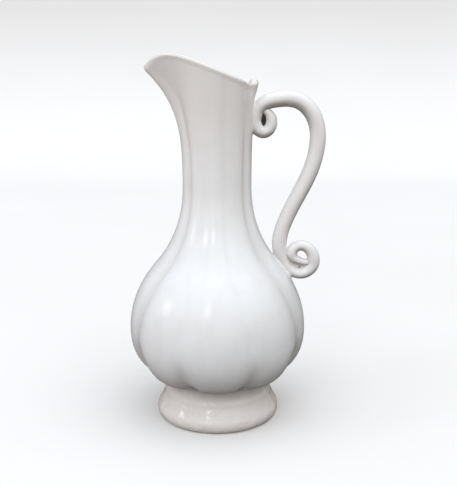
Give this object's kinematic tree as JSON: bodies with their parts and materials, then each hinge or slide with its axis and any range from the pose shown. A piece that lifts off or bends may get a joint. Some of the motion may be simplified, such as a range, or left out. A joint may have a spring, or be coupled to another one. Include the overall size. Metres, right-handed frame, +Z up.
{
  "type": "ewer",
  "caption": "White glazed ceramic ewer with a flared foot, a lobed globular body, a tall lobed neck with a beak spout, and a scroll handle, for holding and pouring a drink.",
  "frame": {"origin": "centre of the foot's underside, on the axis of the vessel", "axes": "+Z up along the axis, -X towards the spout, +X towards the handle"},
  "size_m": [0.1927, 0.1752, 0.3596],
  "materials": {
    "glaze_white": "glossy white glaze, slightly cool",
    "glaze_warm": "glossy white glaze, slightly warm",
    "slip": "fired slip under the glaze"
  },
  "bodies": {
    "root": {"foot": "glaze_warm", "foot_slip_ring": "slip", "body": "glaze_white", "shoulder_slip_ring": "slip", "neck": "glaze_warm", "handle": "glaze_white", "upper_handle_slip": "slip", "lower_handle_slip": "slip", "scroll_slip": "slip"}
  },
  "joints": []
}
